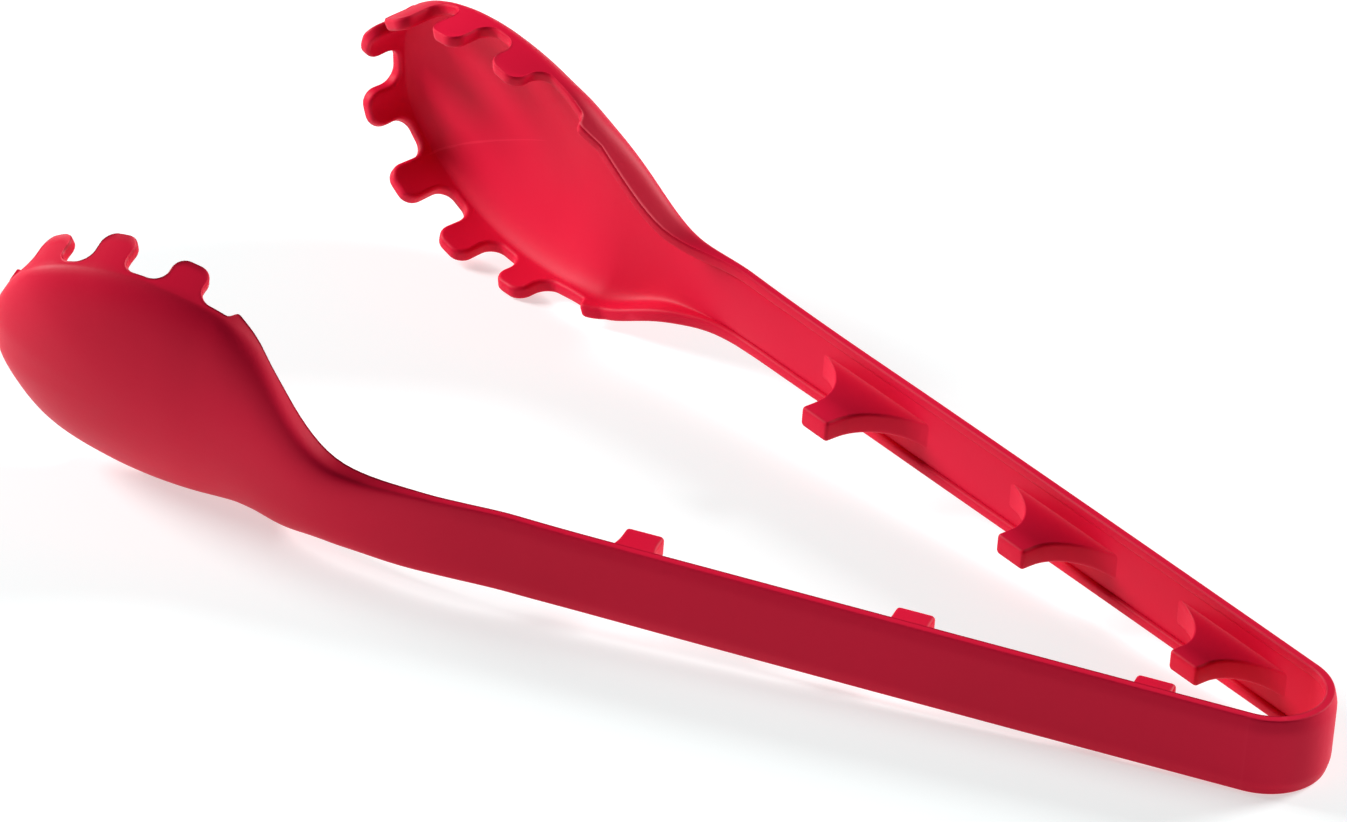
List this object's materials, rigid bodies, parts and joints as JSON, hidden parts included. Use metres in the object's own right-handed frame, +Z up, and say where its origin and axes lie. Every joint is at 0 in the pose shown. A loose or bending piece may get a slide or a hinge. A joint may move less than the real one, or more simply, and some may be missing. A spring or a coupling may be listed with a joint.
{
  "type": "spring loaded kitchen tongs",
  "caption": "Hand-held spring tongs: a U-shaped spring bow, flat strap arms with inward grip lugs and spoon-shaped heads with toothed rims; squeezing the arms closes them.",
  "frame": {"origin": "middle of the bounding box at its bottom, on the surface that the tongs lie on", "axes": "+X towards the bow, +Y towards the right arm, +Z up with the tongs lying on their side"},
  "size_m": [0.306, 0.1628, 0.0628],
  "materials": {
    "red_silicone": "soft satin moulded silicone",
    "spring_steel": "plain cold-rolled strip"
  },
  "bodies": {
    "bow": {"bow": "red_silicone", "bow_strip": "spring_steel"},
    "right_arm": {"right_arm": "red_silicone", "right_strip": "spring_steel", "right_head": "red_silicone", "right_lug_1": "red_silicone", "right_lug_2": "red_silicone", "right_lug_3": "red_silicone"},
    "left_arm": {"left_arm": "red_silicone", "left_strip": "spring_steel", "left_head": "red_silicone", "left_lug_1": "red_silicone", "left_lug_2": "red_silicone", "left_lug_3": "red_silicone"}
  },
  "joints": [
    {"name": "right_arm_flex", "type": "hinge", "parent": "bow", "child": "right_arm", "pos_m": [0.13937, 0.00987, 0.00986], "axis": [0.034, -0.0326, 0.9989], "range_deg": [0, 10.5], "stiffness_Nm_per_rad": 2},
    {"name": "left_arm_flex", "type": "hinge", "parent": "bow", "child": "left_arm", "pos_m": [0.13935, -0.00667, 0.00932], "axis": [-0.034, 0.0326, -0.9989], "range_deg": [0, 10.5], "stiffness_Nm_per_rad": 2}
  ],
  "couplings": [
    {"joint": "left_arm_flex", "follows": "right_arm_flex", "ratio": 1}
  ]
}
